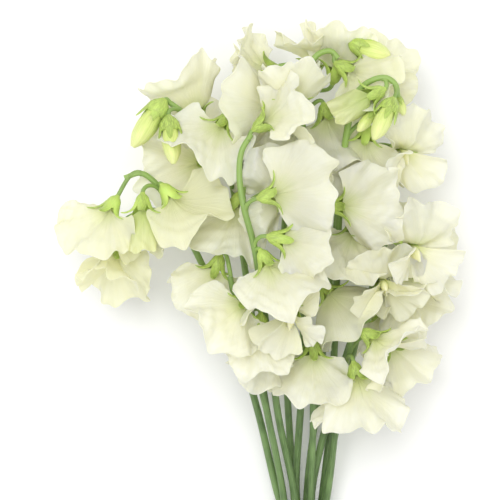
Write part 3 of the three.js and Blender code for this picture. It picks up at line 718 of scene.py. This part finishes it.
def lobe(shell, flower, angle, start, bend, tip, width, droop):
    """One pointed lobe from the cup's rim: (radius, height) of its start, bend and tip."""
    rows, columns = 13, 7
    t = np.linspace(0, 1, rows)[:, None]
    line = np.array(start) * (1 - t) ** 2 + 2 * np.array(bend) * t * (1 - t) + np.array(tip) * t**2
    tangent = np.gradient(line, axis=0)
    tangent /= np.linalg.norm(tangent, axis=1, keepdims=True)
    s = np.linspace(-1, 1, columns)
    half = width / 2 * (1 - t[:, 0]) ** 0.62 * (1 + 0.5 * t[:, 0]) + 0.07
    out = np.array([math.cos(angle), math.sin(angle), 0])
    sideways = np.array([-math.sin(angle), math.cos(angle), 0])
    grid = np.empty((rows, columns, 3))
    for i in range(rows):
        radius, height = line[i]
        trough = 0.35 * half[i] * (s**2) * (1 - droop)
        normal = -tangent[i, 1] * out + np.array([0, 0, tangent[i, 0]])
        grid[i] = radius * out + np.array([0, 0, height]) + np.outer(s * half[i], sideways)
        grid[i] += np.outer(trough, normal)
    flow = np.stack(np.broadcast_arrays(s, 0, 5 + 6 * t), -1)
    thickness = 0.3 + 0.35 * (1 - t) * (1 - s[None, :] ** 2)
    shell.sheet(over_floor(placed(grid, flower)), thickness, flow, CALYX)


def calyx(shell, flower, sizes):
    """The green cup with five spread lobes."""
    depth = sizes.calyx_depth / MM
    radius = sizes.calyx_radius / MM
    reach = sizes.lobe_length / MM
    random = np.random.RandomState(3000 + flower["seed"])
    shares = [(-0.16, 0.27), (0, 0.36), (0.1, 0.56), (0.28, 0.76), (0.55, 0.9), (0.85, 0.98), (1.04, 1.0)]
    outer = [(depth * z, radius * r) for z, r in shares]
    inner = [(depth * 1.04, radius - 0.3), (depth * 0.7, radius - 0.75), (depth * 0.35, radius * 0.45)]
    cup(shell, flower, outer + inner, 0.035)
    for k in range(LOBES):
        angle = 2 * math.pi * (k + 1) / LOBES + math.pi / 2 + 0.16 * (random.random_sample() - 0.5)
        flare = math.radians(62 + 26 * (random.random_sample() - 0.5))
        long = reach * (1.05 + 0.35 * random.random_sample())
        tip = (0.86 * radius + long * math.sin(flare), depth + long * math.cos(flare))
        bend = (radius * 1.02 + 0.12 * long, depth + 0.42 * long)
        start = (radius * 0.93, depth * 0.72)
        lobe(shell, flower, angle, start, bend, tip, 3.7, 0)


def bud(shell, flower, sizes):
    """An unopened flower: the cup with lobes laid along a plump creased pod."""
    long = flower["size"]
    half = sizes.bud_fullness * long
    random = np.random.RandomState(4000 + flower["seed"])
    depth = 0.26 * long
    rows = [(-0.03, 0.2), (0.02, 0.42), (0.07, 0.66), (0.14, 0.86), (0.22, 0.94), (0.29, 0.9), (0.3, 0.8)]
    cup(shell, flower, [(long * z, half * r) for z, r in rows] + [(long * 0.2, half * 0.4)], 0.03)
    heights = (0.1, 0.3, 0.55, 0.8, 0.95, 1)
    z = np.linspace(heights[0], heights[-1], 26)
    radius = np.interp(z, heights, (0.55, 0.8, 0.98, 0.8, 0.42, 0.14))
    radius = np.convolve(np.pad(radius, 2, mode="edge"), [0.1, 0.2, 0.4, 0.2, 0.1], mode="valid")
    bow = np.interp(z, heights, (0, 0.01, 0.05, 0.09, 0.13, 0.14))
    angles = turns(36)
    rings, flow = [], []
    for level, r, b in zip(z, radius, bow):
        turn = angles - math.pi / 2 + 0.5 * (level - 0.5)
        under = np.angle(np.exp(1j * (turn - math.pi)))
        over = np.angle(np.exp(1j * turn))
        ridge = 0.1 * np.exp(-((over / 0.3) ** 2))
        seam = 0.16 * np.exp(-((under / 0.13) ** 2)) * smooth((level - 0.2) * 4)
        fold = 0.07 * smooth((under - 0.12) / 0.5) * smooth((1.9 - under) / 0.6)
        section = 1 + ridge - seam + fold
        x = 0.86 * half * r * section * np.cos(angles)
        y = 1.06 * half * r * section * np.sin(angles) + b * long
        rings.append(np.stack([x, y, np.full(len(angles), level * long)], 1))
        flow.append(circle(turn, level))
    shell.loft(over_floor(placed(np.array(rings), flower)), flow, POD)
    for k in range(LOBES):
        angle = 2 * math.pi * (k + 1) / LOBES + math.pi / 2 + 0.2 * (random.random_sample() - 0.5)
        reach = long * (0.2 + 0.08 * random.random_sample())
        start = (half * 0.86, depth * 0.8)
        bend = (half * 1.06, depth + 0.35 * reach)
        tip = (half * (1.1 + 0.25 * random.random_sample()), depth + reach)
        lobe(shell, flower, angle, start, bend, tip, 0.66 * half, 0.3)


def spike_shell(stem, sizes):
    """Stem, stalks, calyces and unopened buds of one flower spike."""
    shell = Shell()
    points = stem_points(stem)
    count = 6 * (len(points) - 1) + 1
    t = np.linspace(0, 1, count)
    centres = np.array([along_curve(points, s) for s in t])
    radii = (sizes.stem_radius + (sizes.tip_radius - sizes.stem_radius) * t) / MM
    tube(shell, centres, radii, 16, 0.045, STEM, cap_finish=CUT)
    for flower in stem["flowers"]:
        line = stalk_line(points, flower)
        swell = 1 + 0.35 * np.exp(-((np.linspace(0, 1, len(line)) / 0.15) ** 2))
        tube(shell, line, sizes.stalk_radius / MM * swell, 12, 0.03, STALK)
        (bud if flower["form"] == "bud" else calyx)(shell, flower, sizes)
    return shell


# ---- Rubber band ----
def band_shell(sizes):
    """Three flat coils of rubber laid side by side round the stems."""
    shell = Shell()
    thickness = sizes.band_thickness / MM
    half_width = 1.5 * STEM_PITCH + SIDE_STEP + sizes.stem_radius / MM + BAND_GAP
    half_height = ROW_PITCH + sizes.stem_radius / MM + BAND_GAP
    coil_width = BAND_WIDTH / BAND_COILS
    arc = np.linspace(0, math.pi / 2, 9)
    section = circle(turns(12), 0)
    section = np.sign(section) * np.abs(section) ** 0.6
    wide = section[:, 0] * coil_width * 0.485
    deep = section[:, 1] * thickness / 2
    for coil in range(BAND_COILS):
        middle_y = (coil - 1) * coil_width
        path, outward = [], []
        for corner, (sx, sz) in enumerate([(1, 1), (-1, 1), (-1, -1), (1, -1)]):
            for a in arc + corner * math.pi / 2:
                direction = np.array([math.cos(a), 0, math.sin(a)])
                centre = np.array([sx * (half_width - BAND_CORNER), 0, sz * (half_height - BAND_CORNER)])
                path.append(centre + direction * (BAND_CORNER + thickness / 2))
                outward.append(direction)
        path, outward = np.array(path), np.array(outward)
        slant = 0.25 * np.sin(np.linspace(0, 2 * math.pi, len(path), endpoint=False) + coil)
        grid = path[:, None, :] + outward[:, None, :] * deep[None, :, None]
        grid[..., 1] += middle_y + wide[None, :] + slant[:, None] * (0.6 if coil == 1 else 0.2)
        grid += np.array(BAND_MIDDLE)
        flow = np.zeros(grid.shape)
        flow[..., 2] = np.arange(len(path))[:, None]
        shell.hoop(grid, flow, RUBBER)
    return shell


# ---- Finishes ----
class Finish:
    """A material in the making: its node tree and its shader."""

    def __init__(self, name, **sockets):
        self.material = bpy.data.materials.new(name)
        self.material.use_nodes = True
        self.tree = self.material.node_tree
        self.shader = self.tree.nodes["Principled BSDF"]
        for socket, value in sockets.items():
            self.shader.inputs[socket.replace("_", " ")].default_value = value

    def node(self, kind, inputs=None, **settings):
        made = self.tree.nodes.new(kind)
        for key, value in settings.items():
            setattr(made, key, value)
        for key, value in (inputs or {}).items():
            if isinstance(value, bpy.types.NodeSocket):
                self.tree.links.new(value, made.inputs[key])
            else:
                made.inputs[key].default_value = value
        return made

    def flow(self):
        """The flow vector and its parts."""
        vector = self.node("ShaderNodeAttribute", attribute_name="flow").outputs["Vector"]
        return vector, self.node("ShaderNodeSeparateXYZ", {"Vector": vector}).outputs

    def scaled(self, vector, scale):
        return self.node("ShaderNodeVectorMath", {0: vector, 1: scale}, operation="MULTIPLY").outputs[0]

    def noise(self, vector, scale, detail, roughness=0.5):
        inputs = {"Vector": vector, "Scale": scale, "Detail": detail, "Roughness": roughness}
        return self.node("ShaderNodeTexNoise", inputs).outputs["Fac"]

    def between(self, value, low, high):
        inputs = {"Value": value, "From Min": low, "From Max": high}
        return self.node("ShaderNodeMapRange", inputs).outputs["Result"]

    def maths(self, operation, a, b):
        return self.node("ShaderNodeMath", {0: a, 1: b}, operation=operation).outputs[0]

    def shifted(self, value, noise, most):
        """value moved up and down by the noise, by half of most at most."""
        return self.plus(value, self.maths("SUBTRACT", noise, 0.5), most)

    def plus(self, value, other, share):
        return self.maths("ADD", value, self.maths("MULTIPLY", other, share))

    def ramp(self, value, stops):
        made = self.node("ShaderNodeValToRGB", {"Fac": value})
        elements = made.color_ramp.elements
        while len(elements) < len(stops):
            elements.new(0.5)
        for element, (position, shade) in zip(elements, stops):
            element.position = position
            element.color = (*shade, 1)
        return made.outputs["Color"]

    def mix(self, factor, a, b, blend="MIX"):
        made = self.node("ShaderNodeMix", {0: factor}, data_type="RGBA", blend_type=blend)
        for socket, value in ((6, a), (7, b)):
            if isinstance(value, bpy.types.NodeSocket):
                self.tree.links.new(value, made.inputs[socket])
            else:
                made.inputs[socket].default_value = (*value, 1)
        return made.outputs[2]

    def bump(self, height, distance, strength):
        made = self.node("ShaderNodeBump", {"Height": height, "Distance": distance, "Strength": strength})
        self.tree.links.new(made.outputs["Normal"], self.shader.inputs["Normal"])

    def colour(self, value):
        self.tree.links.new(value, self.shader.inputs["Base Color"])


def petal_finish(name, stops, shade, shade_share):
    """Thin waxy petal: veins that fan out from the claw, a paler edge, a faint crinkle and a yellower painted
    shade mixed in by the flow's Z and random blotches.
    """
    finish = Finish(
        name, Roughness=0.5, Specular_IOR_Level=0.3,
        Subsurface_Weight=0.6, Subsurface_Radius=(1.0, 0.95, 0.6), Subsurface_Scale=0.003,
    )
    vector, parts = finish.flow()
    veins = finish.noise(finish.scaled(vector, (15.0, 1.1, 9.0)), 1.6, 4.0, 0.6)
    place = finish.node("ShaderNodeTexCoord").outputs["Object"]
    blotch = finish.noise(place, 55.0, 2.0)
    base = finish.ramp(finish.shifted(parts["Y"], veins, 0.16), stops)
    # painted shade: the yellower shade colour mixed in by each flower's place in the bunch (the flow's Z),
    # with random blotches
    shade_and_tone = finish.between(finish.maths("ADD", parts["Z"], blotch), 0.7, 1.5)
    base = finish.mix(finish.maths("MULTIPLY", shade_and_tone, shade_share), base, shade)
    lines = finish.between(veins, 0.35, 0.62)
    base = finish.mix(0.06, base, finish.ramp(lines, [(0, (0.55, 0.56, 0.36)), (1, (1, 1, 1))]), "MULTIPLY")
    crinkle = finish.noise(place, 420.0, 3.0)
    finish.bump(finish.plus(veins, crinkle, 0.35), distance=0.0006, strength=0.45)
    finish.colour(base)


def green_finish(name, main, dark, streak_scale, roughness, tip=None):
    """Smooth ribbed green with streaks that follow the stem or lobe. tip is a stem's colour at its end."""
    finish = Finish(
        name, Roughness=roughness, Specular_IOR_Level=0.4,
        Subsurface_Weight=0.12, Subsurface_Radius=(0.6, 1.0, 0.3), Subsurface_Scale=0.001,
    )
    vector, parts = finish.flow()
    streaks = finish.noise(finish.scaled(vector, streak_scale), 2.2, 4.0, 0.55)
    place = finish.node("ShaderNodeTexCoord").outputs["Object"]
    patches = finish.noise(place, 70.0, 2.0)
    base = finish.mix(finish.between(streaks, 0.38, 0.66), dark, main)
    lighter = tuple(min(1.0, c * 1.16 + 0.005) for c in main)
    base = finish.mix(finish.between(patches, 0.45, 0.75), base, lighter)
    if tip:
        base = finish.mix(finish.between(parts["Z"], 150.0, 290.0), base, tip)
    fine = finish.noise(place, 900.0, 2.0)
    finish.bump(finish.plus(streaks, fine, 0.4), distance=0.0003, strength=0.5)
    finish.colour(base)


def pod_finish(name, stops):
    """Folded petals of a bud: green by the cup, creamier at the tip, with long veins."""
    finish = Finish(
        name, Roughness=0.5, Specular_IOR_Level=0.35,
        Subsurface_Weight=0.3, Subsurface_Radius=(0.9, 1.0, 0.4), Subsurface_Scale=0.002,
    )
    vector, parts = finish.flow()
    veins = finish.noise(finish.scaled(vector, (4.5, 4.5, 1.2)), 2.0, 4.0, 0.6)
    base = finish.ramp(finish.shifted(parts["Z"], veins, 0.3), stops)
    lines = finish.ramp(finish.between(veins, 0.35, 0.6), [(0, (0.5, 0.62, 0.3)), (1, (1, 1, 1))])
    base = finish.mix(0.35, base, lines, "MULTIPLY")
    finish.bump(veins, distance=0.0005, strength=0.5)
    finish.colour(base)


def grained_finish(name, shade, darker, scale, roughness):
    """Even matter with a fine grain."""
    finish = Finish(name, Roughness=roughness, Specular_IOR_Level=0.3)
    place = finish.node("ShaderNodeTexCoord").outputs["Object"]
    grain = finish.noise(place, scale, 4.0, 0.6)
    finish.bump(grain, distance=0.0002, strength=0.6)
    finish.colour(finish.mix(finish.between(grain, 0.35, 0.65), darker, shade))


def materials(context):
    """Every finish of the bunch by its plain name, made once."""
    colours = context.scene.sweet_pea_colours

    def shade(name, share=1.0):
        return tuple(c * share for c in getattr(colours, name))

    if BLOOM_FINISHES[OPENED] not in bpy.data.materials:
        cream = [
            (0.1, shade("petal_claw")),
            (0.45, shade("petal_middle")),
            (0.9, shade("petal_edge")),
            (1.0, shade("petal_edge", 0.92)),
        ]
        young = [(0.05, shade("young_claw")), (0.9, shade("young_edge"))]
        pod = [(0.25, shade("bud_green")), (0.95, shade("bud_tip"))]
        stem, stalk, calyx = (2.0, 2.0, 0.07), (2.0, 2.0, 0.2), (2.5, 2.5, 0.25)
        tip = shade("stalk_green")
        petal_finish("cream petal", cream, shade("petal_shade"), 0.65)
        petal_finish("young petal", young, shade("young_edge"), 0.3)
        green_finish("stem green", shade("stem_green"), shade("stem_dark"), stem, 0.42, tip)
        green_finish("stalk green", tip, shade("stalk_green", 0.6), stalk, 0.45)
        green_finish("calyx green", shade("calyx_green"), shade("calyx_green", 0.6), calyx, 0.48)
        pod_finish("folded bud", pod)
        grained_finish("cut end", shade("cut_end"), shade("cut_end", 0.6), 1500.0, 0.5)
        grained_finish("rubber", shade("rubber"), shade("rubber", 0.75), 300.0, 0.62)
    return bpy.data.materials


# ---- Operators ----
class BuildBlooms(bpy.types.Operator):
    """Build every open and half-open flower"""

    bl_idname = "sweet_pea.blooms"
    bl_label = "Blooms"

    def execute(self, context):
        finishes = materials(context)
        skins = [finishes[name] for name in BLOOM_FINISHES]
        sizes = context.scene.sweet_pea_sizes
        for stem in STEMS:
            blooms = [entry for entry in stem["flowers"] if entry["form"] != "bud"]
            for count, entry in enumerate(blooms, 1):
                tail = f"{stem['name']}_{count}"
                bloom_shell(entry, sizes).piece("petals_" + tail, skins, "bloom_" + tail, "petal", 50)
        return {"FINISHED"}


class BuildSpikes(bpy.types.Operator):
    """Build the stems with their stalks, calyces and buds"""

    bl_idname = "sweet_pea.spikes"
    bl_label = "Stems"

    def execute(self, context):
        finishes = materials(context)
        skins = [finishes[name] for name in SPIKE_FINISHES]
        sizes = context.scene.sweet_pea_sizes
        for stem in STEMS:
            name = stem["name"]
            spike_shell(stem, sizes).piece("green_" + name, skins, "stem_" + name, "green_stem", 40)
        return {"FINISHED"}


class BuildBand(bpy.types.Operator):
    """Build the rubber band"""

    bl_idname = "sweet_pea.band"
    bl_label = "Rubber band"

    def execute(self, context):
        skins = [materials(context)["rubber"]]
        band_shell(context.scene.sweet_pea_sizes).piece("band_coils", skins, "rubber_band", "rubber", 60)
        return {"FINISHED"}


class BuildStage(bpy.types.Operator):
    """Build the floor, the lights and the camera"""

    bl_idname = "sweet_pea.stage"
    bl_label = "Stage"

    def execute(self, context):
        scene = context.scene
        sizes = scene.sweet_pea_sizes
        colours = scene.sweet_pea_colours
        bpy.ops.object.select_all(action="DESELECT")
        bpy.ops.mesh.primitive_plane_add(size=8.0, location=(0, 0, 0))
        floor = context.object
        floor.name = "floor"
        finish = Finish("pale floor", Roughness=0.9, Base_Color=(*colours.floor, 1), Specular_IOR_Level=0.1)
        floor.data.materials.append(finish.material)

        world = bpy.data.worlds.new("studio")
        world.use_nodes = True
        glow = world.node_tree.nodes["Background"]
        glow.inputs["Color"].default_value = (1, 1, 1, 1)
        glow.inputs["Strength"].default_value = WORLD_GLOW
        scene.world = world
        middle = Vector(FLOWERS_MIDDLE) * MM + Vector(SHIFT)
        for name, offset, size, power in LIGHTS:
            data = bpy.data.lights.new(name, "AREA")
            data.shape = "DISK"
            data.size = size
            data.energy = power
            light = bpy.data.objects.new(name, data)
            light.location = middle + Vector(offset)
            light.rotation_euler = (-Vector(offset)).to_track_quat("-Z", "Y").to_euler()
            scene.collection.objects.link(light)

        data = bpy.data.cameras.new("camera")
        data.sensor_width = SENSOR_WIDTH
        data.lens = SENSOR_WIDTH * sizes.camera_height / sizes.view_width
        data.clip_end = 20.0
        camera = bpy.data.objects.new("camera", data)
        camera.location = middle + Vector((0, 0, sizes.camera_height))
        scene.collection.objects.link(camera)
        scene.camera = camera
        scene.view_settings.view_transform = "Standard"
        return {"FINISHED"}


class SweetPeaPanel(bpy.types.Panel):
    """The bunch's pieces, sizes and colours"""

    bl_idname = "VIEW3D_PT_sweet_pea"
    bl_label = "Sweet Pea Bunch"
    bl_space_type = "VIEW_3D"
    bl_region_type = "UI"
    bl_category = "Sweet Peas"

    def draw(self, context):
        for operator in STEPS:
            self.layout.operator(operator.bl_idname)
        for group in (context.scene.sweet_pea_sizes, context.scene.sweet_pea_colours):
            column = self.layout.column()
            for name in group.bl_rna.properties.keys():
                if name not in {"rna_type", "name"}:
                    column.prop(group, name)


STEPS = (BuildBlooms, BuildSpikes, BuildBand, BuildStage)
CLASSES = (SweetPeaSizes, SweetPeaColours, *STEPS, SweetPeaPanel)


def register():
    for entry in CLASSES:
        bpy.utils.register_class(entry)
    bpy.types.Scene.sweet_pea_sizes = bpy.props.PointerProperty(type=SweetPeaSizes)
    bpy.types.Scene.sweet_pea_colours = bpy.props.PointerProperty(type=SweetPeaColours)


def unregister():
    del bpy.types.Scene.sweet_pea_colours
    del bpy.types.Scene.sweet_pea_sizes
    for entry in reversed(CLASSES):
        bpy.utils.unregister_class(entry)


def main():
    register()
    for operator in STEPS:
        group, name = operator.bl_idname.split(".")
        getattr(getattr(bpy.ops, group), name)()
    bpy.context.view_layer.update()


if __name__ == "__main__":
    main()
